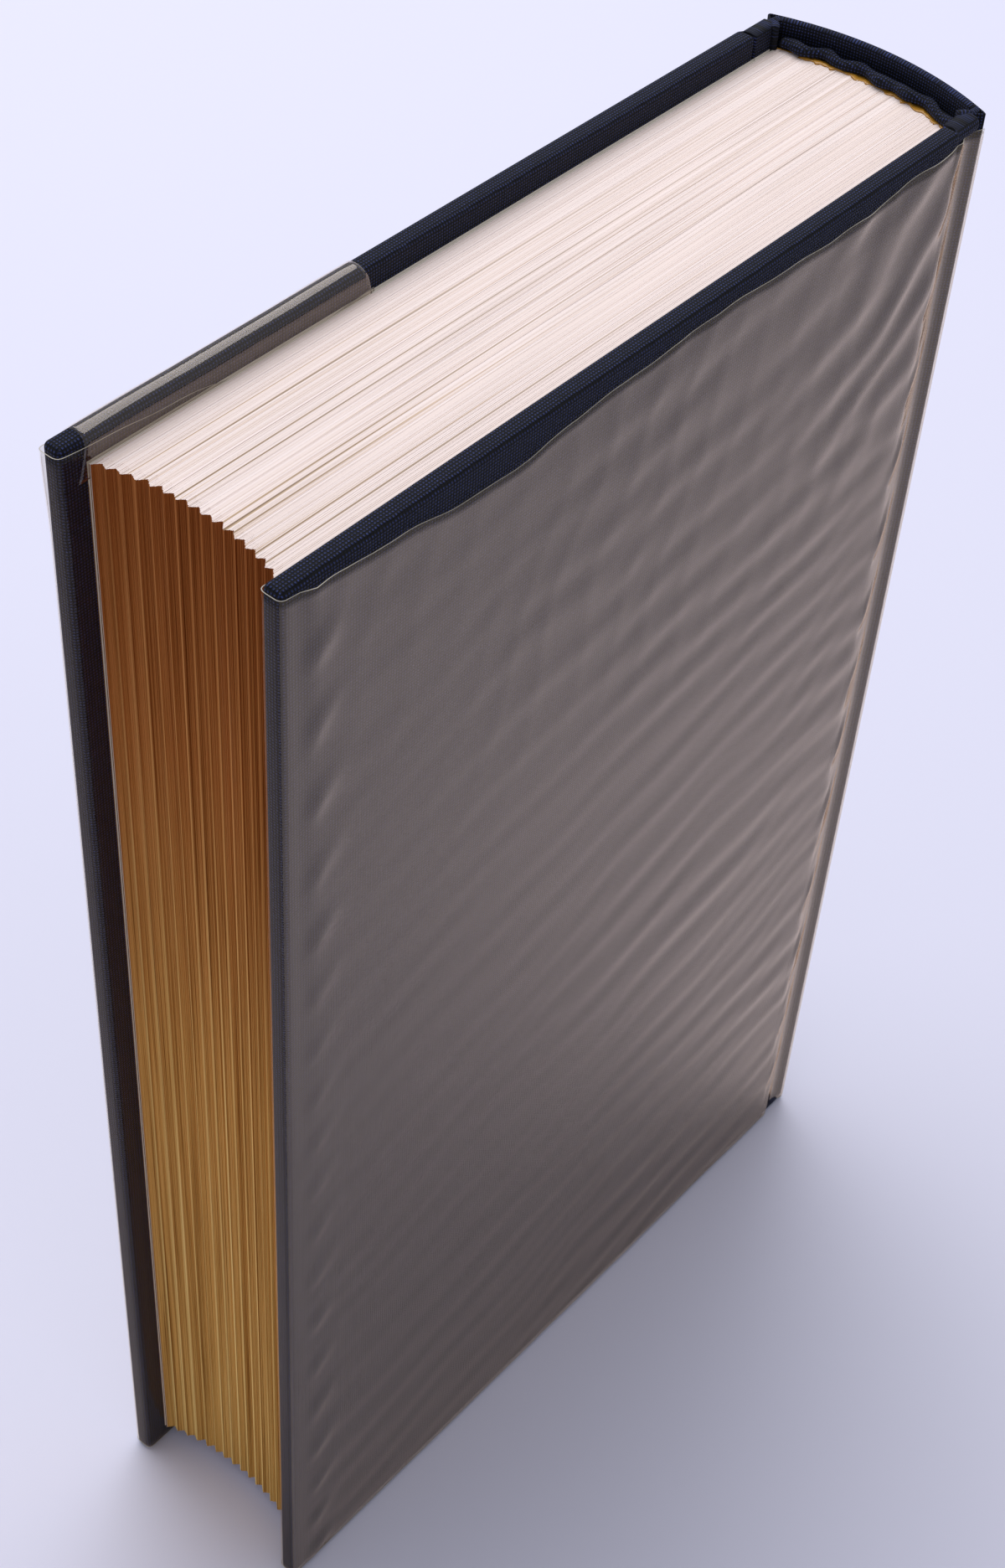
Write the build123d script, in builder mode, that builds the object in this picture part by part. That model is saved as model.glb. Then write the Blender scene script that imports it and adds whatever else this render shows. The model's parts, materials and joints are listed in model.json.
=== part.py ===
from build123d import *

import os
from math import asin, cos, degrees, radians, sin, sqrt

# A case-bound hardback book in a clear film jacket, closed, standing on its tail edge.
#
# Frame: +X from the spine to the fore edge, +Y from the front cover to the back cover,
# +Z from the tail to the head. The origin is the middle of the footprint, at z = 0.
# Every layer round the back of the book is an arc about one upright rounding axis.
# Each cover is drawn for the back (+Y) and mirrored for the front. Millimetres.

# ---- Text block: sewn sections, with a rounded back -------------------------------------
section_count = 16
section_thickness = 1.875
leaf_width = 129.0
rounding_depth = 2.6  # the middle of the back stands this far out from its corners
section_notch = 0.8  # step between the outer and the inner leaves of one section
notch_place = 0.4  # where across a section that step is deepest

# ---- Case: boards and book cloth --------------------------------------------------------
case_height = 215.0
board_thickness = 2.4
board_round = 0.5
cloth_thickness = 0.3
turn_in = 15.0
head_square = 3.5
tail_square = 3.5
fore_square = 3.8

# ---- Joint: the pressed groove that each cover swings on --------------------------------
hinge_from_back = 1.1  # hinge line, forward of the text block's back corners
hinge_to_board = 3.7
hinge_to_slope = 0.8
hinge_gap = 0.2  # from the hinge line to each of the two cloths that meet there
ear_round = 1.0
groove_round = 0.7

# ---- Endpapers, glue, lining and bands --------------------------------------------------
endpaper_thickness = 0.15
glue_thickness = 0.25
lining_margin = 15.2  # bare back at head and tail, past the turn-ins
band_thickness = 0.6
band_depth = 12.0
band_inset = 0.4
bead_radius = 0.75
bead_reach = 0.2  # the bead's middle lies this far inwards from the tape
hollow = 1.1  # open space between the lining and the case
stiffener_thickness = 0.6
stiffener_inset = 1.5

# ---- Clear film jacket ------------------------------------------------------------------
film_thickness = 0.12
film_short_of_head = 2.5
film_short_of_tail = 1.0
flap_clearance = 0.15
front_flap = 51.0
back_flap = 71.5
head_fold_inset = 2.5  # the fold over the front board's head starts this far from the fore edge

# ---- Worked out from the sizes above ----------------------------------------------------
block_half = section_count * section_thickness / 2
block_low = tail_square
block_high = case_height - head_square
film_low = film_short_of_tail
film_high = case_height - film_short_of_head

# Radii about the rounding axis, outwards from the text block.
back_radius = (block_half**2 + rounding_depth**2) / (2 * rounding_depth)
glue_radius = back_radius + glue_thickness
lining_radius = glue_radius + cloth_thickness
hollow_radius = lining_radius + hollow
stiffener_radius = hollow_radius + cloth_thickness
under_cloth_radius = stiffener_radius + stiffener_thickness
spine_radius = under_cloth_radius + cloth_thickness

# Levels across the thickness, outwards from the text block.
flyleaf_face = block_half + endpaper_thickness
flap_level = flyleaf_face + flap_clearance
pastedown_level = flap_level + film_thickness
turn_in_level = pastedown_level + endpaper_thickness
board_level = turn_in_level + cloth_thickness
board_face = board_level + board_thickness
cover_face = board_face + cloth_thickness
film_face = cover_face + film_thickness
groove_face = board_level + cloth_thickness
groove_film_face = groove_face + film_thickness

stiffener_half = cover_face - stiffener_inset

# Places along X. The film's fore edge and the film on the spine are equally far from x = 0.
case_reach = leaf_width + fore_square + film_thickness
back_reach = rounding_depth + spine_radius + film_thickness - back_radius
back_x = (back_reach - case_reach) / 2
rounding_x = back_x - rounding_depth + back_radius
fore_x = back_x + leaf_width
case_fore_x = fore_x + fore_square
hinge_x = back_x + hinge_from_back
board_fore_x = case_fore_x - cloth_thickness
board_hinge_x = hinge_x + hinge_to_board
joint_end_x = board_hinge_x - cloth_thickness
spine_end_x = hinge_x - hinge_gap
cover_start_x = hinge_x + hinge_gap
window_fore_x = case_fore_x - turn_in
ear_x = rounding_x - sqrt(spine_radius**2 - cover_face**2)

os.makedirs("parts", exist_ok=True)


def fill_between(x_low, x_high, y_low, y_high, mode=Mode.ADD):
    """A rectangle between those limits, in the sketch being drawn."""
    with Locations(((x_low + x_high) / 2, (y_low + y_high) / 2)):
        Rectangle(x_high - x_low, y_high - y_low, mode=mode)


def block_between(x_low, x_high, y_low, y_high, z_low, z_high, mode=Mode.ADD):
    """A plain block between those limits, in the part being built."""
    with Locations(((x_low + x_high) / 2, (y_low + y_high) / 2, (z_low + z_high) / 2)):
        Box(x_high - x_low, y_high - y_low, z_high - z_low, mode=mode)


def fill_arc_band(inner_radius, outer_radius, half_width):
    """A curved strip about the rounding axis, cut square at half_width on both sides."""
    with Locations((rounding_x, 0)):
        Circle(outer_radius)
        Circle(inner_radius, mode=Mode.SUBTRACT)
    fill_between(rounding_x - 2 * outer_radius, back_x, -half_width, half_width, Mode.INTERSECT)


def back_wrap(radius, half_width):
    """Everything inside a round back of that radius with straight sides at half_width."""
    side_x = rounding_x - sqrt(radius**2 - half_width**2)
    with BuildSketch() as wrap:
        with BuildLine():
            ThreePointArc((side_x, half_width), (rounding_x - radius, 0), (side_x, -half_width))
            Polyline((side_x, -half_width), (0, -half_width), (0, half_width), (side_x, half_width))
        make_face()
    return wrap.sketch


def spine_wrap(growth):
    """Everything inside the case's spine and grooves, moved outwards by growth."""
    foot_x = hinge_x - hinge_to_slope
    with BuildSketch() as wrap:
        with BuildLine():
            ThreePointArc((ear_x, cover_face), (rounding_x - spine_radius, 0), (ear_x, -cover_face))
            Polyline((ear_x, -cover_face), (foot_x, -groove_face), (0, -groove_face))
            Line((0, -groove_face), (0, groove_face))
            Polyline((0, groove_face), (foot_x, groove_face), (ear_x, cover_face))
        make_face()
        corners = wrap.vertices().group_by(Axis.X)
        fillet(corners[0], ear_round)
        fillet(wrap.vertices().filter_by_position(Axis.X, foot_x - 0.01, foot_x + 0.01), groove_round)
        offset(amount=growth)
    return wrap.sketch


# ---- Text block: one solid ---------------------------------------------------------------
def fore_edge_points():
    """The fore edge in plan: as hollow as the back is round, with a notch in each section."""
    chord = sqrt(back_radius**2 - block_half**2)
    points = []
    for section in range(section_count):
        y_start = -block_half + section * section_thickness
        y_notch = y_start + notch_place * section_thickness
        for y, notch in ((y_start, 0), (y_notch, section_notch)):
            hollow_depth = sqrt(back_radius**2 - y**2) - chord
            points.append((fore_x - hollow_depth - notch, y))
    return points + [(fore_x, block_half)]


with BuildPart() as text_block:
    with BuildSketch(Plane.XY.offset(block_low)):
        with BuildLine():
            fore_edge = Polyline(*fore_edge_points())
            back = ThreePointArc(
                (back_x, -block_half), (rounding_x - back_radius, 0), (back_x, block_half)
            )
            Line(fore_edge @ 0, back @ 0)
            Line(fore_edge @ 1, back @ 1)
        make_face()
    extrude(amount=block_high - block_low)
text_block.part.label = "text_block"
export_step(text_block.part, "parts/text_block.step")

# ---- Glue over the whole back ------------------------------------------------------------
with BuildPart() as spine_glue:
    with BuildSketch(Plane.XY.offset(block_low)):
        fill_arc_band(back_radius, glue_radius, block_half)
    extrude(amount=block_high - block_low)
spine_glue.part.label = "spine_glue"
export_step(spine_glue.part, "parts/spine_glue.step")

# ---- Lining: open cloth over the glue, whose sides run out under the case's joints ---------
lining_outside = back_wrap(lining_radius, board_level)
lining_inside = back_wrap(glue_radius, turn_in_level)
with BuildPart() as spine_lining:
    with BuildSketch(Plane.XY.offset(lining_margin)):
        add(lining_outside)
        add(lining_inside, mode=Mode.SUBTRACT)
        fill_between(-case_reach, spine_end_x, -case_reach, case_reach, Mode.INTERSECT)
    extrude(amount=case_height - 2 * lining_margin)
spine_lining.part.label = "spine_lining"
export_step(spine_lining.part, "parts/spine_lining.step")

# ---- Headband and tailband: cloth stuck to the back, rolled round a cord at the block's end -
for name, end_z, outwards in (("headband", block_high, 1), ("tailband", block_low, -1)):
    half_angle = degrees(asin((block_half - band_inset) / (glue_radius + band_thickness)))
    start = radians(180 - half_angle)
    start_plane = Plane(
        origin=(rounding_x, 0, 0),
        x_dir=(cos(start), sin(start), 0),
        z_dir=(sin(start), -cos(start), 0),
    )
    bead_z = end_z + outwards * bead_radius
    with BuildPart() as rolled_band:
        with BuildSketch(start_plane):
            with Locations((glue_radius + band_thickness / 2, bead_z - outwards * band_depth / 2)):
                Rectangle(band_thickness, band_depth)
            with Locations((glue_radius - bead_reach, bead_z)):
                Circle(bead_radius)
        revolve(axis=Axis((rounding_x, 0, 0), (0, 0, 1)), revolution_arc=2 * half_angle)
    rolled_band.part.label = name
    export_step(rolled_band.part, f"parts/{name}.step")

# ---- Card stiffener inside the spine -----------------------------------------------------
with BuildPart() as spine_stiffener:
    with BuildSketch(Plane.XY.offset(cloth_thickness)):
        fill_arc_band(stiffener_radius, under_cloth_radius, stiffener_half)
    extrude(amount=case_height - 2 * cloth_thickness)
spine_stiffener.part.label = "spine_stiffener"
export_step(spine_stiffener.part, "parts/spine_stiffener.step")

# ---- Spine cloth: round the back, over the ears and down into both grooves, with the
# ---- turned-in cloth inside the stiffener and the joints at head and tail ------------------
spine_outside = spine_wrap(0)
under_cloth = spine_wrap(-cloth_thickness)
under_turn_in = spine_wrap(-2 * cloth_thickness)
with BuildPart() as spine_cloth:
    with BuildSketch():
        add(spine_outside)
        add(under_cloth, mode=Mode.SUBTRACT)
        fill_between(-case_reach, spine_end_x, -case_reach, case_reach, Mode.INTERSECT)
    extrude(amount=case_height)
    for turn_in_z in (0, case_height - turn_in):
        with BuildSketch(Plane.XY.offset(turn_in_z)):
            add(spine_outside)
            add(under_turn_in, mode=Mode.SUBTRACT)
            fill_between(-case_reach, spine_end_x, -case_reach, case_reach, Mode.INTERSECT)
        extrude(amount=turn_in)
        with BuildSketch(Plane.XY.offset(turn_in_z)):
            fill_arc_band(hollow_radius, under_cloth_radius, stiffener_half + cloth_thickness)
        extrude(amount=turn_in)
    add(spine_stiffener.part, mode=Mode.SUBTRACT)
spine_cloth.part.label = "spine_cloth"
export_step(spine_cloth.part, "parts/spine_cloth.step")

# ---- Film over the spine and the near half of both grooves -----------------------------------
film_outside = spine_wrap(film_thickness)
with BuildPart() as spine_jacket:
    with BuildSketch(Plane.XY.offset(film_low)):
        add(film_outside)
        add(spine_outside, mode=Mode.SUBTRACT)
        fill_between(-case_reach, spine_end_x, -case_reach, case_reach, Mode.INTERSECT)
    extrude(amount=film_high - film_low)
spine_jacket.part.label = "spine_jacket"
export_step(spine_jacket.part, "parts/spine_jacket.step")

# ---- Endpaper: the flyleaf, its fold at the block's back and the strip stuck in the joint ----
with BuildPart() as back_endpaper:
    with BuildSketch(Plane.XY.offset(block_low)):
        fill_between(back_x, fore_x, block_half, flyleaf_face)
        fill_between(back_x, back_x + endpaper_thickness, block_half, turn_in_level)
        fill_between(back_x, spine_end_x, pastedown_level, turn_in_level)
    extrude(amount=block_high - block_low)

# ---- Board ---------------------------------------------------------------------------------
with BuildPart() as back_board:
    block_between(
        board_hinge_x,
        board_fore_x,
        board_level,
        board_face,
        cloth_thickness,
        case_height - cloth_thickness,
    )
    fillet(back_board.edges().filter_by(Axis.Z).group_by(Axis.X)[-1], board_round)
    fillet(back_board.edges().filter_by(Axis.X), board_round)

# ---- Cover cloth: over the board, turned in on three sides, and down into the groove ---------
with BuildPart() as back_cloth:
    block_between(joint_end_x, case_fore_x, turn_in_level, cover_face, 0, case_height)
    fillet(
        back_cloth.edges().filter_by(Axis.Z).group_by(Axis.X)[-1], board_round + cloth_thickness
    )
    fillet(back_cloth.edges().filter_by(Axis.X), board_round + cloth_thickness)
    block_between(cover_start_x, board_hinge_x, turn_in_level, groove_face, 0, case_height)
    add(back_board.part, mode=Mode.SUBTRACT)
    block_between(
        cover_start_x,
        window_fore_x,
        turn_in_level,
        board_level,
        turn_in,
        case_height - turn_in,
        mode=Mode.SUBTRACT,
    )

# ---- Pastedown: over the turn-ins, and stepped down to the board between them -----------------
with BuildPart() as back_pastedown:
    block_between(cover_start_x, fore_x, pastedown_level, turn_in_level, block_low, block_high)
    block_between(
        cover_start_x, window_fore_x, turn_in_level, board_level, turn_in, case_height - turn_in
    )
    block_between(
        cover_start_x,
        window_fore_x - endpaper_thickness,
        pastedown_level,
        board_level - endpaper_thickness,
        turn_in + endpaper_thickness,
        case_height - turn_in - endpaper_thickness,
        mode=Mode.SUBTRACT,
    )


# ---- Film over a cover: outside, round the fore edge and back as a flap inside -------------------
def fill_cover_film(flap):
    """The film in plan, with a flap of that length inside the board."""
    with BuildSketch(mode=Mode.PRIVATE) as outside:
        fill_between(joint_end_x - film_thickness, case_fore_x + film_thickness, flap_level, film_face)
        fillet(
            outside.vertices().group_by(Axis.X)[-1], board_round + cloth_thickness + film_thickness
        )
    with BuildSketch(mode=Mode.PRIVATE) as inside:
        fill_between(joint_end_x, case_fore_x, pastedown_level, cover_face)
        fillet(inside.vertices().group_by(Axis.X)[-1], board_round + cloth_thickness)
    add(outside.sketch)
    add(inside.sketch, mode=Mode.SUBTRACT)
    fill_between(-case_reach, case_fore_x - flap, flap_level, cover_face, Mode.SUBTRACT)
    fill_between(joint_end_x - film_thickness, joint_end_x, groove_face, film_face)
    fill_between(cover_start_x, joint_end_x, groove_face, groove_film_face)


with BuildPart() as back_jacket:
    with BuildSketch(Plane.XY.offset(film_low)):
        fill_cover_film(back_flap)
    extrude(amount=film_high - film_low)

# The front flap is also drawn up over the board's head, so the front film has a folded hood.
with BuildPart() as front_jacket_as_back:
    with BuildSketch(Plane.XY.offset(film_low)):
        fill_cover_film(front_flap)
    extrude(amount=film_high - film_low)
    hood_low_x = case_fore_x - front_flap
    hood_high_x = case_fore_x - head_fold_inset
    for y_low, y_high, z_low in (
        (flap_level, pastedown_level, film_high),
        (cover_face, film_face, film_high),
        (flap_level, film_face, case_height),
    ):
        block_between(
            hood_low_x, hood_high_x, y_low, y_high, z_low, case_height + film_thickness
        )

# ---- Both covers and both endpapers, written out -------------------------------------------------
for name, back_piece, front_as_back in (
    ("endpaper", back_endpaper, back_endpaper),
    ("board", back_board, back_board),
    ("cloth", back_cloth, back_cloth),
    ("pastedown", back_pastedown, back_pastedown),
    ("jacket", back_jacket, front_jacket_as_back),
):
    back_piece.part.label = f"back_{name}"
    export_step(back_piece.part, f"parts/back_{name}.step")
    with BuildPart() as front_piece:
        mirror(front_as_back.part, about=Plane.XZ)
    front_piece.part.label = f"front_{name}"
    export_step(front_piece.part, f"parts/front_{name}.step")
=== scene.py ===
import json
from math import cos, pi, radians, sin, sqrt
from random import Random

import bmesh
import bpy
import numpy as np
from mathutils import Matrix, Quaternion, Vector, noise


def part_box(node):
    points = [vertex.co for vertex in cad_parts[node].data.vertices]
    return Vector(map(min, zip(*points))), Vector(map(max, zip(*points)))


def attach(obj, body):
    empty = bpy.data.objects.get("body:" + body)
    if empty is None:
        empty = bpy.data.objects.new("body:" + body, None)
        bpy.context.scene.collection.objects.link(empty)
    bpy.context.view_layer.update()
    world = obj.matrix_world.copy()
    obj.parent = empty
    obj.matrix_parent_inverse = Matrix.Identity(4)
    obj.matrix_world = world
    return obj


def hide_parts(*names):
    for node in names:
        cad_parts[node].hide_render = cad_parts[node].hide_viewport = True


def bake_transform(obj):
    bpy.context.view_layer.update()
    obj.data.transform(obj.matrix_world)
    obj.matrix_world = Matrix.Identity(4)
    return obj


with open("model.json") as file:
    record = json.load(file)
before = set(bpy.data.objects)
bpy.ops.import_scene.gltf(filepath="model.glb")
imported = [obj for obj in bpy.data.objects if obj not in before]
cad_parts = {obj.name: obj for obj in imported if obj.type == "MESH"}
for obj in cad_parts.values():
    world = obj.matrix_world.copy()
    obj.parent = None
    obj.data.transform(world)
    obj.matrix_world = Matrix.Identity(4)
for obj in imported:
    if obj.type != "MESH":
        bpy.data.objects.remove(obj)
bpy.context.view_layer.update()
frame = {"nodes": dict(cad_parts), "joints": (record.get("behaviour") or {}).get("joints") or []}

# ---- Text block ---------------------------------------------------------------------------
# Sixteen sections of sixteen leaves, sewn, glued and rounded. Rounding after the fore edge was cut
# leaves each section standing in a step there. Uncoated book paper, with the fore edge yellowed.
MM = 0.001
sections = 16
leaves_in_section = 16
leaf_gap = 0.008 * MM
widest_section_gap = 0.09 * MM
step_depth = 0.85 * MM
leaf_scatter = 0.11 * MM
head_scatter = 0.035 * MM
leaf_stations = 14
toned_depth = 1.4 * MM
rising_share = 0.45  # of a section's leaves, from its first to the one that is set back most
fold_swell = 0.2 * MM

block_low, block_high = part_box("text_block")
endpaper_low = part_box("back_endpaper")[0]
block_half = block_high[1]
rounding = endpaper_low[0] - block_low[0]
back_radius = (block_half**2 + rounding**2) / (2 * rounding)
rounding_x = block_low[0] + back_radius


def arc_rise(y):
    """How far a point of the rounded back stands out from its corners, at that y."""
    return sqrt(back_radius**2 - y**2) - sqrt(back_radius**2 - block_half**2)


def mesh_object(name, vertices, faces, uvs=None, smooth=True):
    """A mesh object from vertices in metres and faces; uvs are one pair per face corner, in mm."""
    mesh = bpy.data.meshes.new(name)
    mesh.from_pydata([tuple(v) for v in vertices], [], faces)
    if uvs is not None:
        layer = mesh.uv_layers.new(name="thread")
        layer.data.foreach_set("uv", np.asarray(uvs, dtype=float).ravel())
    welded = bmesh.new()
    welded.from_mesh(mesh)
    if smooth:
        bmesh.ops.remove_doubles(welded, verts=welded.verts, dist=1e-7)
        bmesh.ops.dissolve_degenerate(welded, edges=welded.edges, dist=1e-7)
    bmesh.ops.recalc_face_normals(welded, faces=welded.faces)
    welded.to_mesh(mesh)
    welded.free()
    mesh.polygons.foreach_set("use_smooth", [smooth] * len(mesh.polygons))
    piece = bpy.data.objects.new(name, mesh)
    bpy.context.scene.collection.objects.link(piece)
    return piece


def paper_wave(x, y):
    """The slight sideways wander that all leaves near that place share."""
    inside = 1 - (y / block_half) ** 2
    return inside * MM * (
        0.10 * sin(x / (17 * MM) + y / (2.3 * MM)) + 0.07 * sin(x / (7.5 * MM) - y / (1.4 * MM))
    )


page_chance = Random(7)
page_vertices = []
page_faces = []
fore_faces = []
pitch = 2 * block_half / (sections * leaves_in_section)
for section in range(sections):
    section_depth = step_depth * page_chance.uniform(0.75, 1.15)
    section_head = head_scatter * page_chance.uniform(-1, 0)
    section_gap = widest_section_gap * page_chance.random() ** 2
    for leaf in range(leaves_in_section):
        y_low = -block_half + (section * leaves_in_section + leaf) * pitch + leaf_gap / 2
        y_high = y_low + pitch - leaf_gap
        place = (leaf + 0.5) / leaves_in_section
        if leaf == 0:
            y_low += section_gap / 2
        if leaf == leaves_in_section - 1:
            y_high -= section_gap / 2
        step = min(place / rising_share, (1 - place) / (1 - rising_share))
        y_middle = (y_low + y_high) / 2
        fore_x = block_high[0] - arc_rise(y_middle) - section_depth * step
        fore_x -= leaf_scatter * page_chance.uniform(0, 1)
        back_x = endpaper_low[0] - arc_rise(y_middle) + fold_swell * (2 * place - 1) ** 2
        top = block_high[2] + section_head - head_scatter * page_chance.uniform(0, 1)
        bottom = block_low[2] + head_scatter * page_chance.uniform(0, 1)
        first = len(page_vertices)
        for station in range(leaf_stations):
            x = back_x + (fore_x - toned_depth - back_x) * station / (leaf_stations - 2)
            if station == leaf_stations - 1:
                x = fore_x
            wander = paper_wave(x, y_middle)
            page_vertices += [
                (x, y_low + wander, bottom),
                (x, y_high + wander, bottom),
                (x, y_high + wander, top),
                (x, y_low + wander, top),
            ]
        for station in range(leaf_stations - 1):
            a = first + 4 * station
            for side in range(4):
                b = a + (side + 1) % 4
                if side in (1, 3) and station == leaf_stations - 2:
                    fore_faces.append(len(page_faces))
                page_faces.append((a + side, a + side + 4, b + 4, b))
        page_faces.append((first, first + 1, first + 2, first + 3))
        last = first + 4 * (leaf_stations - 1)
        fore_faces.append(len(page_faces))
        page_faces.append((last + 3, last + 2, last + 1, last))

pages = mesh_object("pages", page_vertices, page_faces, smooth=False)


def colour(hex_value):
    """Linear colour from an sRGB hex value such as "#f4e6dc"."""
    channels = [int(hex_value[i : i + 2], 16) / 255 for i in (1, 3, 5)]
    linear = [c / 12.92 if c <= 0.04045 else ((c + 0.055) / 1.055) ** 2.4 for c in channels]
    return (*linear, 1.0)


def new_material(name):
    """An empty node material and its output node."""
    material = bpy.data.materials.new(name)
    material.use_nodes = True
    material.node_tree.nodes.clear()
    return material, add(material, "OutputMaterial")


def add(material, kind, settings=None, **links):
    """Adds a node of that kind, without the words ShaderNode.

    settings holds its properties. links name its inputs, with _ for a space, or number them: i0, i1.
    """
    node = material.node_tree.nodes.new("ShaderNode" + kind)
    for key, value in (settings or {}).items():
        setattr(node, key, value)
    for key, value in links.items():
        numbered = key[0] == "i" and key[1:].isdigit()
        socket = node.inputs[int(key[1:]) if numbered else key.replace("_", " ")]
        if isinstance(value, bpy.types.NodeSocket):
            material.node_tree.links.new(value, socket)
        else:
            socket.default_value = value
    return node


def ramp(material, factor, stops):
    """A colour ramp node with stops of (place, linear colour)."""
    node = add(material, "ValToRGB", Fac=factor)
    elements = node.color_ramp.elements
    while len(elements) < len(stops):
        elements.new(0.5)
    for element, (place, value) in zip(elements, stops):
        element.position = place
        element.color = value
    return node.outputs["Color"]


def finish_material(material, output, shader):
    """Joins the shader to the material's output."""
    material.node_tree.links.new(shader, output.inputs["Surface"])


# Uncoated wood-free paper, cut in a guillotine: the cut is matt, with faint lines along the leaves
# and deeper, yellower lines of painted shade where leaves stand apart.
leaf_line_mm = 0.24
section_line_mm = 0.48
cut_paper, output = new_material("uncoated_paper_cut_head")
place = add(cut_paper, "TexCoord").outputs["Object"]
along_leaves = (4.0, 1000 / leaf_line_mm, 4.0)
stretched = add(cut_paper, "Mapping", Vector=place, Scale=along_leaves).outputs[0]
leaf_lines = add(cut_paper, "TexNoise", Vector=stretched, Scale=1.0, Detail=1.5, Roughness=0.6).outputs["Fac"]
tone = ramp(cut_paper, leaf_lines, [
    (0.2, colour("#d9bda8")), (0.34, colour("#ecdad2")), (0.55, colour("#f4e4e0")), (0.85, colour("#faefee")),
])
along_sections = (5.0, 1000 / section_line_mm, 5.0)
stretched = add(cut_paper, "Mapping", Vector=place, Scale=along_sections).outputs[0]
section_lines = add(cut_paper, "TexNoise", Vector=stretched, Scale=1.0, Detail=1.0,
    Roughness=0.5).outputs["Fac"]
# shadow: painted shade in the gaps where leaves stand apart.
shadow = ramp(cut_paper, section_lines, [
    (0.31, colour("#86703c")), (0.35, colour("#cdb688")), (0.385, colour("#ffffff")),
])
# The painted shade between the leaves is made stronger towards the fore edge, where they stand more open.
along = add(cut_paper, "SeparateXYZ", Vector=place).outputs["X"]
gap_shade_strength = add(cut_paper, "MapRange", Value=along, From_Min=-0.05, From_Max=0.06, To_Min=0.15, To_Max=0.8)
lined = add(cut_paper, "Mix", {"data_type": "RGBA", "blend_type": "MULTIPLY"},
    i0=gap_shade_strength.outputs[0], i6=tone, i7=shadow)
skin = add(cut_paper, "BsdfPrincipled", Base_Color=lined.outputs[2], Roughness=0.88, Specular_IOR_Level=0.2)
finish_material(cut_paper, output, skin.outputs[0])

# The fore edge has yellowed to ochre. It is painted browner towards the head as painted shade, with
# fine lines along the leaves and painted shade where each section begins, lightening across it.
edge_line_mm = 0.24
fore_paper, output = new_material("uncoated_paper_toned_fore_edge")
place = add(fore_paper, "TexCoord").outputs["Object"]
up_leaves = (14.0, 1000 / edge_line_mm, 9.0)
stretched = add(fore_paper, "Mapping", Vector=place, Scale=up_leaves).outputs[0]
edge_lines = add(fore_paper, "TexNoise", Vector=stretched, Scale=1.0, Detail=3.0,
    Roughness=0.75).outputs["Fac"]
shade = ramp(fore_paper, edge_lines, [
    (0.3, colour("#9c7a54")), (0.42, colour("#dccab0")), (0.55, colour("#fbf3e4")), (0.7, colour("#ffffff")),
])
apart = add(fore_paper, "SeparateXYZ", Vector=place).outputs
up = add(fore_paper, "MapRange", Value=apart["Z"], From_Min=block_low[2], From_Max=block_high[2]).outputs[0]
# body: the toned ochre, painted browner towards the head as painted shade.
body = ramp(fore_paper, up, [
    (0.0, colour("#ffe39a")), (0.5, colour("#fad289")), (0.8, colour("#dc9f62")), (1.0, colour("#bd7a48")),
])
counted = add(fore_paper, "Math", {"operation": "MULTIPLY_ADD"},
    i0=apart["Y"], i1=sections / (2 * block_half), i2=sections / 2).outputs[0]
in_section = add(fore_paper, "Math", {"operation": "FRACT"}, i0=counted).outputs[0]
# Painted shade at the start of each section's step, lightening across the section.
section_step_shade = ramp(fore_paper, in_section, [
    (0.0, colour("#c3a78a")), (0.1, colour("#e6d8c6")), (0.45, colour("#f2eadf")), (0.9, colour("#ffffff")),
])
multiply = {"data_type": "RGBA", "blend_type": "MULTIPLY"}
lined = add(fore_paper, "Mix", multiply, i0=1.0, i6=section_step_shade, i7=shade).outputs[2]
toned = add(fore_paper, "Mix", multiply, i0=1.0, i6=body, i7=lined).outputs[2]
skin = add(fore_paper, "BsdfPrincipled", Base_Color=toned, Roughness=0.95, Specular_IOR_Level=0.05)
finish_material(fore_paper, output, skin.outputs[0])

pages.data.materials.append(cut_paper)
pages.data.materials.append(fore_paper)
for face in fore_faces:
    pages.data.polygons[face].material_index = 1
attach(pages, "book")
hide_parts("text_block")

# ---- Endpapers -----------------------------------------------------------------------------
# One folded sheet at each side: half lies free on the text block, half is pasted to the board.
# A heavier uncoated paper than the pages, browned at the fore edge. The flyleaves keep their sheet.
def endpaper_material(name, fore_edge):
    """Endpaper stock; fore_edge is the colour of faces that look towards the fore edge."""
    material, output = new_material(name)
    coordinates = add(material, "TexCoord").outputs
    fibres = add(material, "TexNoise", Vector=coordinates["Object"], Scale=900.0, Detail=4.0).outputs["Fac"]
    clouds = add(material, "TexNoise", Vector=coordinates["Object"], Scale=45.0, Detail=3.0)
    tone = ramp(material, clouds.outputs["Fac"], [(0.3, colour("#efe5d8")), (0.7, colour("#f6ede2"))])
    if fore_edge:
        facing = add(material, "SeparateXYZ", Vector=coordinates["Normal"]).outputs["X"]
        at_edge = add(material, "Math", {"operation": "GREATER_THAN"}, i0=facing, i1=0.7).outputs[0]
        tone = add(material, "Mix", {"data_type": "RGBA"}, i0=at_edge, i6=tone, i7=colour(fore_edge))
        tone = tone.outputs[2]
    relief = add(material, "Bump", Strength=0.25, Distance=0.05 * MM, Height=fibres)
    skin = add(material, "BsdfPrincipled", Base_Color=tone, Roughness=0.85, Specular_IOR_Level=0.25,
        Normal=relief.outputs[0])
    finish_material(material, output, skin.outputs[0])
    return material


flyleaf_stock = endpaper_material("uncoated_endpaper_browned_at_fore_edge", "#8a6238")
endpaper_stock = endpaper_material("uncoated_endpaper", None)
for node in ("back_endpaper", "front_endpaper"):
    frame["nodes"][node].data.materials.clear()
    frame["nodes"][node].data.materials.append(flyleaf_stock)

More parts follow.
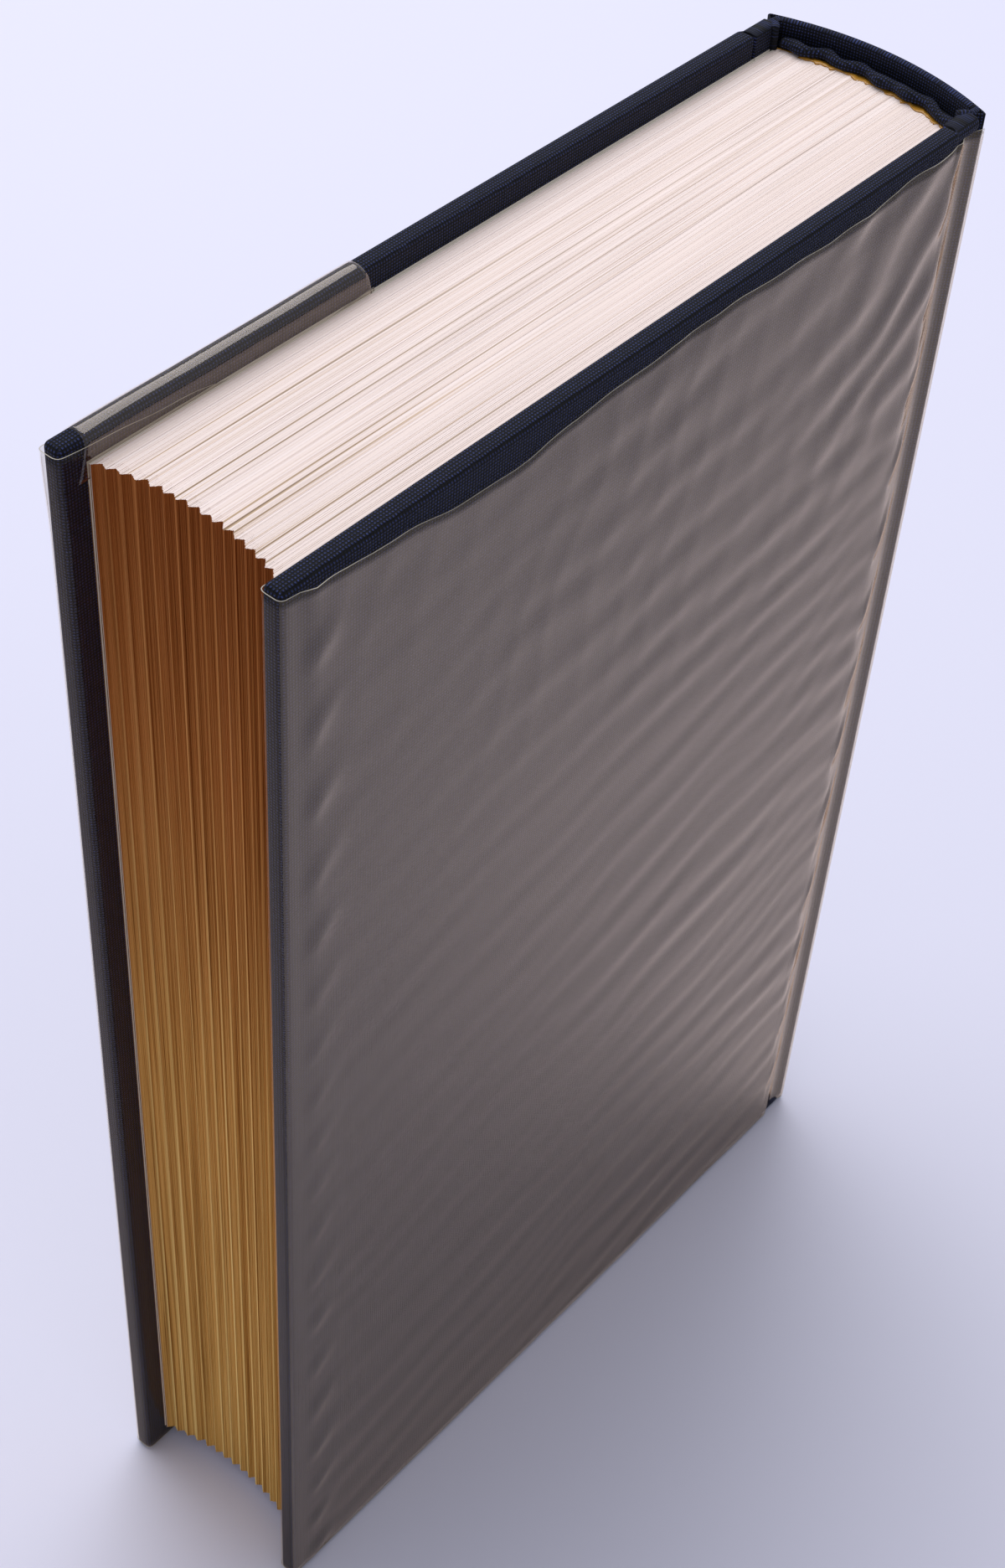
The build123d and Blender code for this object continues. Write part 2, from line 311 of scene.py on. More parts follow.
# ---- Case cloth on the boards -----------------------------------------------------------------
# Plain-weave navy book cloth glued to grey board, with its margins turned in on three sides.
# The cloth rounds every edge of the board, and at the joint it dips into the groove.
cloth_low, cloth_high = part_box("back_cloth")
board_low, board_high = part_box("back_board")
cloth_thickness = cloth_high[1] - board_high[1]
edge_round = 0.85 * MM
board_end_x = board_low[0] - cloth_thickness
turn_in = 15 * MM
window_depth = 0.22 * MM
step_width = 0.8 * MM
hinge = {joint["name"]: joint for joint in frame["joints"]}["back_cover_hinge"]
hinge_x, hinge_y = hinge["pos_m"][:2]
corner_turns = 4


def smooth_step(value, low, high):
    """0 below low, 1 above high, smooth between."""
    part = np.clip((value - low) / (high - low), 0, 1)
    return part * part * (3 - 2 * part)


def window(x, z):
    """1 where the board's inside is clear of the turned-in cloth, 0 over the cloth."""
    fore = cloth_high[0] - turn_in
    across = 1 - smooth_step(x, fore - step_width, fore)
    low = smooth_step(z, turn_in, turn_in + step_width)
    high = 1 - smooth_step(z, cloth_high[2] - turn_in - step_width, cloth_high[2] - turn_in)
    return across * low * high


def stations(low, high, spacing, extra=()):
    """Places from low to high about spacing apart, with the extra ones among them."""
    count = max(2, int(round((high - low) / spacing)) + 1)
    return np.unique(np.round(np.concatenate([np.linspace(low, high, count), extra]), 7))


def turn_in_edges(low, high):
    """Stations close to both ends of the step at the turned-in cloth."""
    return [low, low + step_width / 2, low + step_width, high - step_width, high - step_width / 2, high]


def cased_board(name, side):
    """The cloth round one board as a closed, rounded slab. side is 1 at the back, -1 at the front."""
    r = edge_round
    core_x = (board_end_x + r, cloth_high[0] - r)
    core_y = (cloth_low[1] + r, cloth_high[1] - r)
    fore = cloth_high[0] - turn_in
    xs = stations(*core_x, 4 * MM, [fore - step_width, fore - step_width / 2, fore])
    loop = [(x, core_y[1], 0.0, 1.0) for x in xs]
    loop += [(core_x[1], core_y[1], sin(a), cos(a)) for a in np.linspace(0, pi / 2, corner_turns + 1)[1:]]
    loop += [(core_x[1], core_y[0], cos(a), -sin(a)) for a in np.linspace(0, pi / 2, corner_turns + 1)]
    loop += [(x, core_y[0], 0.0, -1.0) for x in xs[::-1][1:]]
    loop += [(core_x[0], core_y[0], -sin(a), -cos(a)) for a in np.linspace(0, pi / 2, corner_turns + 1)[1:]]
    loop += [(core_x[0], core_y[1], -cos(a), sin(a)) for a in np.linspace(0, pi / 2, corner_turns + 1)[:-1]]
    middle = stations(r, cloth_high[2] - r, 4 * MM, turn_in_edges(turn_in, cloth_high[2] - turn_in))
    levels = [(r - r * cos(a), sin(a)) for a in np.linspace(0, pi / 2, corner_turns + 1)[:-1]]
    levels += [(z, 1.0) for z in middle]
    levels += [(cloth_high[2] - r + r * sin(a), cos(a)) for a in np.linspace(0, pi / 2, corner_turns + 1)[1:]]
    vertices = []
    for z, reach in levels:
        for x, y, dx, dy in loop:
            inner = max(0.0, -dy) ** 4
            y_place = y + dy * r * reach + inner * reach * window_depth * window(x, z)
            vertices.append((x + dx * r * reach, side * y_place, z))
    n = len(loop)
    faces = []
    for row in range(len(levels) - 1):
        for k in range(n):
            m = (k + 1) % n
            faces.append((row * n + k, row * n + m, (row + 1) * n + m, (row + 1) * n + k))
    outer_row = list(range(len(xs)))
    first_inner = len(xs) - 1 + 2 * corner_turns + 1
    inner_row = list(range(first_inner, first_inner + len(xs)))[::-1]
    for base, flip in ((0, False), ((len(levels) - 1) * n, True)):
        for k in range(len(xs) - 1):
            corners = (outer_row[k], outer_row[k + 1], inner_row[k + 1], inner_row[k])
            faces.append(tuple(base + c for c in (corners[::-1] if flip else corners)))
        fan = list(range(outer_row[-1], inner_row[-1] + 1))
        faces.append(tuple(base + k for k in (fan if not flip else fan[::-1])))
        fan = list(range(inner_row[0], n)) + [0]
        faces.append(tuple(base + k for k in (fan if not flip else fan[::-1])))
    if side > 0:
        faces = [face[::-1] for face in faces]
    return face_mapped(name, vertices, faces)


def face_mapped(name, vertices, faces):
    """A mesh whose threads run along the two axes that each face lies in."""
    points = np.array(vertices)
    uvs = []
    for face in faces:
        corners = points[list(face)]
        normal = np.abs(np.cross(corners[1] - corners[0], corners[2] - corners[0]))
        first, second = ((1, 2), (0, 2), (0, 1))[int(np.argmax(normal))]
        uvs += [(corner[first] / MM, corner[second] / MM) for corner in corners]
    return mesh_object(name, vertices, faces, uvs)


# Rayon book cloth: matt navy threads with a painted highlight, bluer where each one rises, and a
# thicker thread here and there. The threads lie about 0.46 mm apart.
thread_mm = 0.46
book_cloth, output = new_material("navy_plain_weave_book_cloth")
thread = add(book_cloth, "UVMap", {"uv_map": "thread"}).outputs[0]
slub = add(book_cloth, "TexNoise", Vector=thread, Scale=0.6, Detail=2.0)
sway = add(book_cloth, "VectorMath", {"operation": "SCALE"}, i0=slub.outputs["Color"], Scale=0.22)
swayed = add(book_cloth, "VectorMath", {"operation": "ADD"}, i0=thread, i1=sway.outputs[0])
split = add(book_cloth, "SeparateXYZ", Vector=swayed.outputs[0])
waves = []
for axis in ("X", "Y"):
    turn = add(book_cloth, "Math", {"operation": "MULTIPLY"}, i0=split.outputs[axis], i1=pi / thread_mm)
    waves.append(add(book_cloth, "Math", {"operation": "SINE"}, i0=turn.outputs[0]).outputs[0])
crossing = add(book_cloth, "Math", {"operation": "MULTIPLY"}, i0=waves[0], i1=waves[1])
rise = add(book_cloth, "Math", {"operation": "ABSOLUTE"}, i0=crossing.outputs[0]).outputs[0]
fuzz = add(book_cloth, "TexNoise", Vector=thread, Scale=5.0, Detail=3.0, Roughness=0.7)
painted_thread_highlight = add(book_cloth, "Math", {"operation": "MULTIPLY"}, i0=rise, i1=fuzz.outputs["Fac"])
# Painted highlight: the crest of each thread is coloured a lighter blue.
tone = ramp(book_cloth, painted_thread_highlight.outputs[0], [
    (0.05, colour("#030409")), (0.3, colour("#090c18")), (0.55, colour("#38447a")),
])
relief = add(book_cloth, "Bump", Strength=0.9, Distance=0.12 * MM, Height=rise)
skin = add(book_cloth, "BsdfPrincipled", Base_Color=tone, Roughness=0.75, Specular_IOR_Level=0.2,
    Sheen_Weight=0.03, Sheen_Roughness=0.5, Normal=relief.outputs[0])
finish_material(book_cloth, output, skin.outputs[0])

for cover, side in (("back", 1), ("front", -1)):
    slab = cased_board(f"{cover}_cased_board", side)
    slab.data.materials.append(book_cloth)
    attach(slab, f"{cover}_cover")
    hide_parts(f"{cover}_cloth", f"{cover}_board")

# ---- Cloth in the joints and on the spine -------------------------------------------------------
# The same sheet of cloth goes on from each board down into the groove, up over the shoulder and
# round the card of the spine. At head and tail it is folded back inside.
spine_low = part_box("spine_cloth")[0]
stiffener_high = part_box("spine_stiffener")[1]
case_height = cloth_high[2]
spine_radius = rounding_x - spine_low[0]
groove_y = hinge_y - 0.12 * MM
cover_y = cloth_high[1]
foot_x = hinge_x - 0.8 * MM
ear_x = rounding_x - sqrt(spine_radius**2 - cover_y**2)


def rounded_path(corners, radii, steps=5):
    """The corners as (x, y) joined by straight lines, each inner corner rounded by its radius."""
    points = [np.array(corners[0])]
    for before, corner, after, radius in zip(corners, corners[1:], corners[2:], radii):
        before, corner, after = np.array(before), np.array(corner), np.array(after)
        into = (corner - before) / np.linalg.norm(corner - before)
        out = (after - corner) / np.linalg.norm(after - corner)
        start, end = corner - into * radius, corner + out * radius
        for t in np.linspace(0, 1, steps + 1):
            points.append((1 - t) ** 2 * start + 2 * t * (1 - t) * corner + t * t * end)
    points.append(np.array(corners[-1]))
    return points


def evenly(points, spacing):
    """The path with extra points so that none is more than spacing from the next."""
    full = [points[0]]
    for a, b in zip(points, points[1:]):
        pieces = max(1, int(np.ceil(np.linalg.norm(b - a) / spacing)))
        full += [a + (b - a) * k / pieces for k in range(1, pieces + 1)]
    return np.array(full)


def thick_sheet(name, grid, thickness, side, rim=0.0, inner=None):
    """A closed sheet from a grid of outside points (rows along one way, columns along z).

    side is 1 or -1 and turns the outside over for a mirrored piece; rim rounds its free edges. The
    inside lies the thickness behind the outside, unless inner gives its points.
    """
    grid = np.asarray(grid, dtype=float)
    along = np.gradient(grid, axis=0)
    up = np.gradient(grid, axis=1)
    normal = np.cross(up, along) * side
    normal /= np.linalg.norm(normal, axis=2, keepdims=True)
    inner = grid - normal * thickness if inner is None else inner
    rows, columns = grid.shape[:2]
    run = np.concatenate([[0], np.cumsum(np.linalg.norm(np.diff(grid[:, columns // 2], axis=0), axis=1))])
    vertices = list(grid.reshape(-1, 3)) + list(inner.reshape(-1, 3))
    count = rows * columns
    flat_uv = [(run[i] / MM, grid[i, j, 2] / MM) for i in range(rows) for j in range(columns)] * 2
    faces = []
    for i in range(rows - 1):
        for j in range(columns - 1):
            a = i * columns + j
            quad = (a, a + columns, a + columns + 1, a + 1)
            faces.append(quad if side < 0 else quad[::-1])
            faces.append(tuple(k + count for k in (quad[::-1] if side < 0 else quad)))
    border = [(0, j) for j in range(columns)] + [(i, columns - 1) for i in range(1, rows)]
    border += [(rows - 1, j) for j in range(columns - 2, -1, -1)] + [(i, 0) for i in range(rows - 2, 0, -1)]
    middle = np.array([(grid[p] + inner[p]) / 2 for p in border])
    outward = []
    for i, j in border:
        step = np.zeros(3)
        step -= along[i, j] / np.linalg.norm(along[i, j]) * (i == 0)
        step += along[i, j] / np.linalg.norm(along[i, j]) * (i == rows - 1)
        step -= up[i, j] / np.linalg.norm(up[i, j]) * (j == 0)
        step += up[i, j] / np.linalg.norm(up[i, j]) * (j == columns - 1)
        outward.append(step)
    first = len(vertices)
    vertices += list(middle + np.array(outward) * rim)
    flat_uv += [flat_uv[i * columns + j] for i, j in border]
    total = len(border)
    for k in range(total):
        m = (k + 1) % total
        a = border[k][0] * columns + border[k][1]
        b = border[m][0] * columns + border[m][1]
        for quad in ((a, b, first + m, first + k), (first + k, first + m, b + count, a + count)):
            faces.append(quad[::-1] if side < 0 else quad)
    uvs = [flat_uv[k] for face in faces for k in face]
    return mesh_object(name, vertices, faces, uvs)


def outward_and_run(path):
    """For each point of a path in plan, the way outwards and the distance from the path's start."""
    path = np.asarray(path)
    direction = np.gradient(path, axis=0)
    direction /= np.linalg.norm(direction, axis=1, keepdims=True)
    outward = np.stack([-direction[:, 1], direction[:, 0]], axis=1)
    run = np.concatenate([[0], np.cumsum(np.linalg.norm(np.diff(path, axis=0), axis=1))])
    return outward, run


def swept(path, zs, side, lift=None):
    """A grid of points: the path in plan, mirrored by side, at each z, lifted outwards by lift."""
    outward, run = outward_and_run(path)
    grid = np.zeros((len(path), len(zs), 3))
    for i, (x, y) in enumerate(path):
        for j, z in enumerate(zs):
            rise = lift(run[i], z, x) if lift else 0.0
            grid[i, j] = (x + outward[i, 0] * rise, side * (y + outward[i, 1] * rise), z)
    return grid


joint_path = evenly(
    rounded_path(
        [
            (foot_x - 0.5 * MM, groove_y - 0.1 * MM),
            (foot_x, groove_y),
            (board_end_x - 0.5 * MM, groove_y),
            (board_end_x + 0.25 * MM, cover_y + 0.02 * MM),
            (board_end_x + 2.0 * MM, cover_y + 0.02 * MM),
        ],
        (0.2 * MM, 0.7 * MM, 0.9 * MM),
    ),
    0.6 * MM,
)
edge_inset = 0.15 * MM
case_levels = stations(edge_inset, case_height - edge_inset, 4 * MM)
bunched_depth = 5 * MM
bunched_levels = np.linspace(case_height - bunched_depth, case_height - edge_inset, 12)
close_levels = np.concatenate([bunched_levels, case_height - bunched_levels])
joint_levels = stations(edge_inset, case_height - edge_inset, 4 * MM, close_levels)


def bunched(y, z):
    """At head and tail the cloth that is turned in over the joint fills the groove almost to the cover."""
    from_end = min(z, case_height - z)
    full = 1 - smooth_step(from_end, 1.2 * MM, bunched_depth)
    crown = 0.5 * MM * (1 - smooth_step(from_end, 0, 0.9 * MM))
    return max(y, y + (cover_y - 0.3 * MM - y) * full) - crown


for cover, side in (("back", 1), ("front", -1)):
    flat = swept(joint_path, joint_levels, side)
    filled = flat.copy()
    for i, j in np.ndindex(filled.shape[:2]):
        filled[i, j, 1] = side * bunched(abs(flat[i, j, 1]), flat[i, j, 2])
    inside = flat - np.array([0, side * 2 * cloth_thickness, 0])
    off_board = flat[:, :, 0] < board_end_x + 0.1 * MM
    inside[off_board, 1] = side * (groove_y - 2 * cloth_thickness)
    strip = thick_sheet(f"{cover}_joint_cloth", filled, 0, side, edge_inset, inside)
    strip.data.materials.append(book_cloth)
    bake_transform(strip)

half_arc = [
    (rounding_x - spine_radius * cos(a), spine_radius * sin(a))
    for a in np.linspace(0, np.arcsin((cover_y - 0.9 * MM) / spine_radius), 14)
]
shoulder = rounded_path(
    [
        half_arc[-1],
        (ear_x, cover_y - 0.1 * MM),
        (foot_x, groove_y),
        (foot_x + 0.6 * MM, groove_y - 0.35 * MM),
    ],
    (0.75 * MM, 0.5 * MM),
)
half_spine = [np.array(p) for p in half_arc[:-1]] + shoulder
mirrored = [np.array((p[0], -p[1])) for p in half_spine[::-1][:-1]]
spine_path = evenly(mirrored + half_spine, 1.2 * MM)
grid = swept(spine_path, case_levels, 1)
spine_sheet = thick_sheet("spine_case_cloth", grid, cloth_thickness, 1, edge_inset)
spine_sheet.data.materials.append(book_cloth)
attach(spine_sheet, "book")
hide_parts("spine_cloth")

# The cloth folded back over the card at head and tail, with the card's edge inside the fold.
fold_reach = stiffener_high[1] + cloth_thickness
fold_path = np.array([p for p in spine_path if abs(p[1]) < fold_reach])
fold_path[:, 0] += 0.04 * MM
fold_thickness = 2 * cloth_thickness + 0.6 * MM
fold_inset = 0.12 * MM
fold_ends = (("head", case_height - turn_in, case_height - fold_inset), ("tail", fold_inset, turn_in))
for end, low, high in fold_ends:
    grid = swept(fold_path, stations(low, high, 1.5 * MM), 1)
    fold = thick_sheet(f"spine_{end}_fold", grid, fold_thickness, 1, 0.3 * MM)
    fold.data.materials.append(book_cloth)
    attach(fold, "book")

# ---- Pastedowns and the paper in the joints ------------------------------------------------------
# The pasted half of each endpaper. It shows the edge of the turned-in cloth as a soft step, and
# goes on across the joint to the fold at the text block's back.
pastedown_low, pastedown_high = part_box("back_pastedown")
paper_thickness = 0.15 * MM
joint_paper_y = pastedown_low[1] + 0.04 * MM
for cover, side in (("back", 1), ("front", -1)):
    fore = cloth_high[0] - turn_in
    xs = stations(board_end_x, pastedown_high[0], 3 * MM, [fore - step_width, fore - step_width / 2, fore])
    edges = turn_in_edges(turn_in, case_height - turn_in)
    zs = stations(pastedown_low[2], pastedown_high[2], 4 * MM, edges)
    grid = np.zeros((len(xs), len(zs), 3))
    for i, j in np.ndindex(grid.shape[:2]):
        y = joint_paper_y + paper_thickness + window_depth * window(xs[i], zs[j])
        grid[i, j] = (xs[i], side * y, zs[j])
    pasted = thick_sheet(f"{cover}_pasted_endpaper", grid, paper_thickness, side)
    pasted.data.materials.append(flyleaf_stock)
    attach(pasted, f"{cover}_cover")
    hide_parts(f"{cover}_pastedown")
    from_fold = (endpaper_low[0] + 0.2 * MM, joint_paper_y + paper_thickness)
    to_board = (board_end_x + 0.1 * MM, joint_paper_y + paper_thickness)
    path = evenly(np.array([from_fold, to_board]), 0.4 * MM)
    levels = stations(pastedown_low[2], pastedown_high[2], 4 * MM)
    hinge_paper = thick_sheet(f"{cover}_joint_paper", swept(path, levels, side), paper_thickness, side)
    hinge_paper.data.materials.append(endpaper_stock)
    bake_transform(hinge_paper)

# ---- Glue, lining and card behind the text block --------------------------------------------------
# Animal glue brushed on the back of the sections, amber where it has squeezed up at the head. Open
# mull cloth is stuck down by it. The spine's grey card is glued to the case cloth only, not to the
# back of the sections.
glue_amber, output = new_material("dried_amber_glue")
skin = add(glue_amber, "BsdfPrincipled", Base_Color=colour("#b9852f"), Roughness=0.25)
finish_material(glue_amber, output, skin.outputs[0])
mull, output = new_material("open_weave_mull")
skin = add(mull, "BsdfPrincipled", Base_Color=colour("#d9d0b8"), Roughness=0.9)
finish_material(mull, output, skin.outputs[0])
grey_card, output = new_material("grey_card")
skin = add(grey_card, "BsdfPrincipled", Base_Color=colour("#7d766d"), Roughness=0.9)
finish_material(grey_card, output, skin.outputs[0])
for node, material in (("spine_glue", glue_amber), ("spine_lining", mull), ("spine_stiffener", grey_card)):
    frame["nodes"][node].data.materials.clear()
    frame["nodes"][node].data.materials.append(material)

glue_chance = Random(5)
bead_vertices = []
bead_faces = []
bead_rings = 46
ring_points = 5
bead_offset = 0.55 * MM
bead_sink = 0.03 * MM
for k in range(bead_rings):
    y = block_half * (0.94 - 1.7 * k / (bead_rings - 1))
    width = (0.35 + 0.75 * glue_chance.random() ** 2) * MM
    tall = (0.06 + 0.22 * glue_chance.random()) * MM
    middle_x = endpaper_low[0] - arc_rise(y) + bead_offset
    for t in range(ring_points):
        a = pi * t / (ring_points - 1)
        bead_vertices.append((middle_x + width * cos(a), y, block_high[2] - bead_sink + tall * sin(a)))
for k in range(bead_rings - 1):
    low, high = k * ring_points, (k + 1) * ring_points
    for t in range(ring_points):
        m = (t + 1) % ring_points
        bead_faces.append((low + t, low + m, high + m, high + t))
bead_faces.append(tuple(range(ring_points))[::-1])
bead_faces.append(tuple(range((bead_rings - 1) * ring_points, bead_rings * ring_points)))
glue_bead = mesh_object("glue_squeezed_up", bead_vertices, bead_faces)
glue_bead.data.materials.append(glue_amber)
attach(glue_bead, "book")

# ---- Headband and tailband --------------------------------------------------------------------------
# A strip of the same navy cloth stuck to the back, its free edge rolled round a cord. The roll lies
# over the end of the text block and wanders, pinched in near the front cover.
tape_thickness = 0.6 * MM
tape_length = 10.5 * MM
roll_radius = 0.8 * MM
pinch_y = -8.5 * MM
pinch_reach = 1.6 * MM
for name, end_z, up in (("headband", block_high[2], 1), ("tailband", block_low[2], -1)):
    ys = np.linspace(-block_half + 0.5 * MM, block_half - 0.5 * MM, 64)
    section_angles = np.linspace(0, 2 * pi, 13)[:-1]
    vertices = []
    for y in ys:
        pinch = 0.9 * np.exp(-(((y - pinch_y) / pinch_reach) ** 2))
        wander = (0.35 * sin(y / (1.9 * MM)) + 0.25 * sin(y / (0.9 * MM) + 1)) * MM
        back = endpaper_low[0] - arc_rise(y) - 0.25 * MM
        roll = roll_radius * (1 + 0.12 * sin(y / (0.7 * MM)))
        centre_x = back + 0.35 * MM + wander - pinch * MM
        centre_z = end_z + up * (roll_radius * 1.05 + 0.12 * MM * sin(y / (2.7 * MM)))
        for a in section_angles:
            vertices.append((centre_x + roll * 1.1 * cos(a), y, centre_z + roll * sin(a) * up))
    n = len(section_angles)
    faces = []
    for i in range(len(ys) - 1):
        for t in range(n):
            m = (t + 1) % n
            quad = (i * n + t, i * n + m, (i + 1) * n + m, (i + 1) * n + t)
            faces.append(quad[::-1] if up > 0 else quad)
    ends = [tuple(range(n)), tuple(range((len(ys) - 1) * n, len(ys) * n))[::-1]]
    faces += ends if up > 0 else [face[::-1] for face in ends]
    roll_piece = face_mapped(f"{name}_roll", vertices, faces)
    roll_piece.data.materials.append(book_cloth)
    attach(roll_piece, "book")
    tape_zs = np.linspace(end_z - up * tape_length, end_z + up * 0.9 * MM, 8)
    tape_path = np.array([(endpaper_low[0] - arc_rise(y) - 0.27 * MM - tape_thickness, y) for y in ys])
    tape = thick_sheet(f"{name}_tape", swept(tape_path, sorted(tape_zs), 1), tape_thickness, 1)
    tape.data.materials.append(book_cloth)
    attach(tape, "book")
    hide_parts(name)

# ---- Clear film jacket ------------------------------------------------------------------------------
# Cast polypropylene film, 0.12 mm, cut a little short of the cloth and folded round both boards.
# It has never lain quite flat: nearly level ripples cross the covers, small scallops stand along
# the fold at the fore edge, it bridges the joints, and its cut head wanders up and down.
film_low, film_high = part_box("back_jacket")
film_bottom, film_top = (corner[2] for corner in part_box("spine_jacket"))
film_thickness = film_high[0] - cloth_high[0]
flap_y = film_low[1]
flap_width = {"back": 71.5 * MM, "front": 51.0 * MM}
fold_loop = {"back": 0.0, "front": 0.45 * MM}


def film_material(name, tint, gain, unevenness):
    """Clear film: what lies behind it, and the reflection of both its sides.

    tint colours its gloss, gain is that gloss against free film, and a gain below 1 darkens the film
    as painted shade; unevenness is how rough the cast surface is.
    """
    material, output = new_material(name)
    place = add(material, "TexCoord").outputs["Object"]
    haze = add(material, "TexNoise", Vector=place, Scale=160.0, Detail=3.0)
    bump = add(material, "Bump", Strength=unevenness, Distance=0.05 * MM, Height=haze.outputs["Fac"])
    relief = bump.outputs[0]
    one_side = add(material, "Fresnel", IOR=1.5, Normal=relief).outputs[0]
    twice = add(material, "Math", {"operation": "MULTIPLY"}, i0=one_side, i1=2.0 * gain).outputs[0]
    more = add(material, "Math", {"operation": "ADD"}, i0=one_side, i1=1.0).outputs[0]
    both_sides = add(material, "Math", {"operation": "DIVIDE"}, i0=twice, i1=more).outputs[0]
    behind = add(material, "NewGeometry").outputs["Backfacing"]
    front_only = add(material, "Math", {"operation": "SUBTRACT"}, i0=1.0, i1=behind).outputs[0]
    share = add(material, "Math", {"operation": "MULTIPLY"}, i0=both_sides, i1=front_only).outputs[0]
    through = add(material, "BsdfTransparent", Color=colour("#fdfcfa"))
    gloss = add(material, "BsdfAnisotropic", Color=colour(tint), Roughness=0.1, Normal=relief)
    shader = add(material, "MixShader", i0=share, i1=through.outputs[0], i2=gloss.outputs[0])
    finish_material(material, output, shader.outputs[0])
    return material


# The warm tints of the film's gloss are painted reflection: they stand in for warm surroundings that the
# scene does not hold.
clear_film = film_material("clear_cast_film", "#ffebd4", 1.0, 0.13)
# Film with its gloss dimmed to a quarter: painted shade on the fold at the fore edge, the flaps inside the
# boards and the film on the spine.
dimmed_film = film_material("clear_film_pressed_to_board", "#ffe8cc", 0.25, 0.1)
film_edge, output = new_material("whitish_cut_edge_of_film")
skin = add(film_edge, "BsdfPrincipled", Base_Color=colour("#b9b2a6"), Roughness=0.35)
finish_material(film_edge, output, skin.outputs[0])


def drift(x, z, size, seed):
    """A slow random change from place to place, about -1 to 1, over that size."""
    return 1.6 * noise.noise(Vector((x / size, seed, z / size)))


def ripple(x, z):
    """How far the film stands off at that place on a cover, from the ripples that cross it."""
    wander = 2.2 * drift(x, z, 34 * MM, 1.5)
    tilt = 0.1 + 0.1 * drift(x, z, 60 * MM, 4.5)
    band = 0.5 + 0.5 * sin(2 * pi * (z + tilt * x) / (8.6 * MM) + wander)
    fine = 0.5 + 0.5 * sin(2 * pi * (z + 0.3 * x) / (5.2 * MM) + 2.4 * drift(x, z, 17 * MM, 7.5))
    patch = 0.6 + 0.4 * drift(x, z, 26 * MM, 9.5)
    near_spine = smooth_step(-x, -50 * MM, 50 * MM)
    near_head = smooth_step(z, 125 * MM, 200 * MM)
    crease = 0.5 + 0.5 * sin(2 * pi * (x + 0.3 * z) / (8.1 * MM) + 3 * drift(x, z, 19 * MM, 12.5))
    pull = 0.5 + 0.5 * sin(2 * pi * (z + 0.75 * x) / (13 * MM) + 2.6 * drift(x, z, 21 * MM, 18.5))
    at_corner = smooth_step(-x, 12 * MM, 50 * MM) * smooth_step(z, 148 * MM, 195 * MM)
    crossing = (0.3 * band * patch + 0.07 * fine) * (0.45 + 0.75 * near_spine) * (1 - 0.6 * at_corner)
    upright = 0.09 * crease**3 * near_head * patch
    bulge = 0.15 * (1 + drift(x, z, 38 * MM, 15.5)) * near_head
    return MM * max(crossing + upright + bulge + 0.45 * at_corner * pull**1.5, 0)


def scallop(x, z):
    """The small puckers that stand along the fold at the fore edge."""
    near_fold = np.exp(-(((film_high[0] - 5.5 * MM - x) / (3.0 * MM)) ** 2))
    folds = 0.5 + 0.5 * sin(2 * pi * (z + 0.67 * x) / (11 * MM) + 1.2 * sin(z / (19 * MM)))
    return 0.4 * MM * near_fold * folds**3


def joint_pucker(x, z):
    """Slanting puckers where the film bridges the joint and is drawn tight over the board's edge."""
    at_edge = np.exp(-(((x - board_end_x - 0.2 * MM) / (1.5 * MM)) ** 2))
    slant = z + 2.4 * (x - board_end_x)
    folds = sin(2 * pi * slant / (16 * MM) + 1.4 * sin(z / (23 * MM)))
    folds += 0.5 * sin(2 * pi * slant / (7.3 * MM) + 1)
    return 0.24 * MM * at_edge * max(folds, -0.4)


# The cut head of the film: (distance from the fore edge, drop below the head of the case), in mm.
head_cut = ((0, 0.7), (8, 1.7), (19, 2.5), (30, 4.3), (39, 4.5), (51, 2.9), (63, 2.6), (76, 1.9), (88, 2.3),
    (101, 2.8), (113, 2.3), (122, 1.5), (131, 1.9), (140, 1.9))


def head_line(x):
    """Where the film's cut head lies at that place along the cover."""
    distance = (cloth_high[0] - x) / MM
    drops = [np.interp(distance + shift, *zip(*head_cut)) for shift in np.linspace(-3, 3, 7)]
    return case_height - MM * (sum(drops) / len(drops) + 0.12 * sin(distance / 1.9))


joint_dip = 0.75 * MM
film_gap = 0.05 * MM
skin_y = cover_y + film_gap + film_thickness
fold_x = cloth_high[0] + film_gap + film_thickness
bridge_start_x = ear_x + 0.3 * MM
film_columns = 150


def stand_off(run, z, x):
    """How far the film stands off the cloth, at that run along its path from the spine."""
    outer_run = fold_x - board_end_x
    past_joint = smooth_step(run, 4.5 * MM, 9 * MM)
    before_fold = 1 - smooth_step(run, outer_run + 1 * MM, outer_run + 3 * MM)
    return past_joint * before_fold * (ripple(x, z) + scallop(x, z)) + joint_pucker(x, z)


